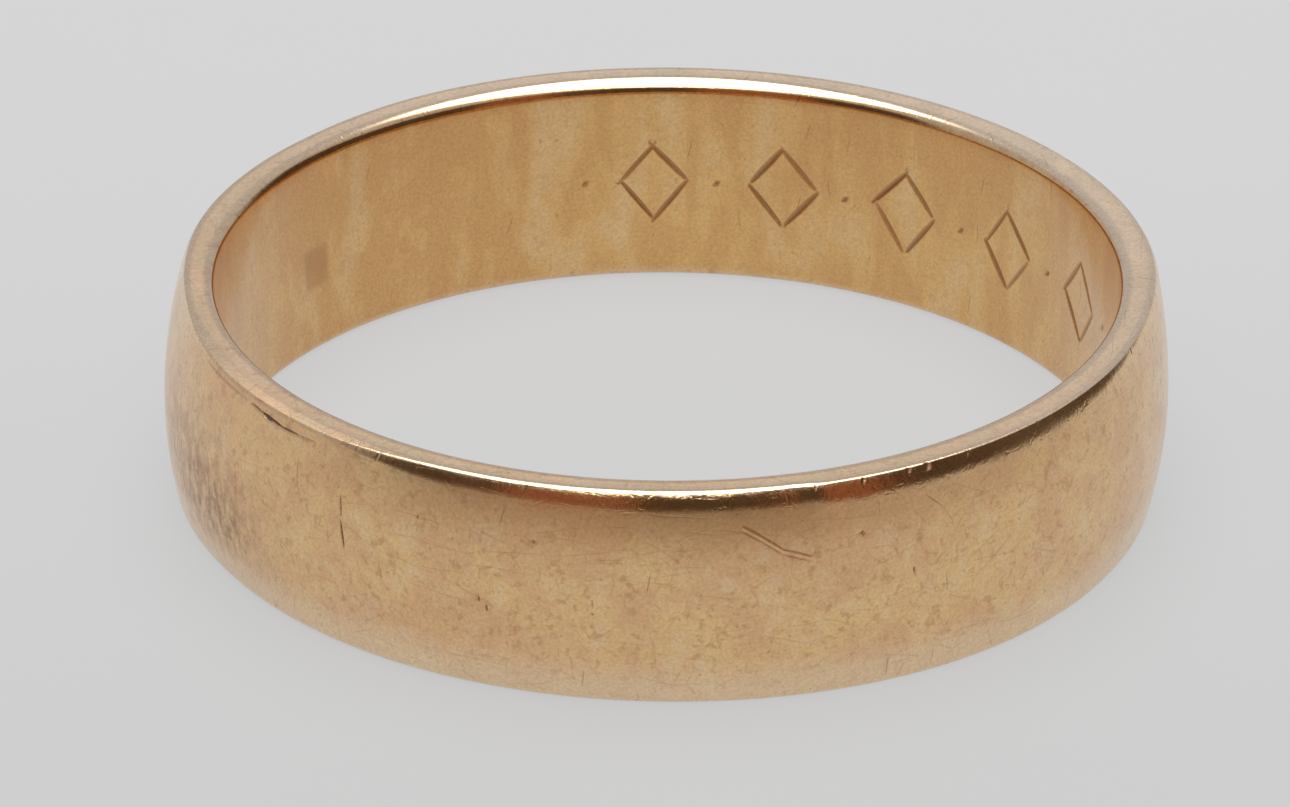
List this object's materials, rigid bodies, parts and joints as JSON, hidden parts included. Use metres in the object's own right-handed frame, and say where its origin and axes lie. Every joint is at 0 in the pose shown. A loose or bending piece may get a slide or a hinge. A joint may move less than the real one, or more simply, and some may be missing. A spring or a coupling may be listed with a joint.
{
  "type": "wedding band",
  "caption": "Plain finger ring with a low-domed outer face, a straight round bore and flat side faces, closed by a soldered butt joint.",
  "frame": {"origin": "centre of the finger hole, half way across the width of the band", "axes": "+Z runs along the axis of the finger hole and is square to both side faces; the soldered joint is 287 degrees round from +X, towards +Y"},
  "size_m": [0.0212, 0.0212, 0.0048],
  "materials": {
    "band_gold": "polished gold worn to a soft satin, with fine scratches, a bright outer corner and brown tarnish patches",
    "solder_gold": "hard gold solder, slightly paler than the band, faced off flush"
  },
  "bodies": {
    "root": {"band": "band_gold", "solder_seam": "solder_gold"}
  },
  "joints": []
}
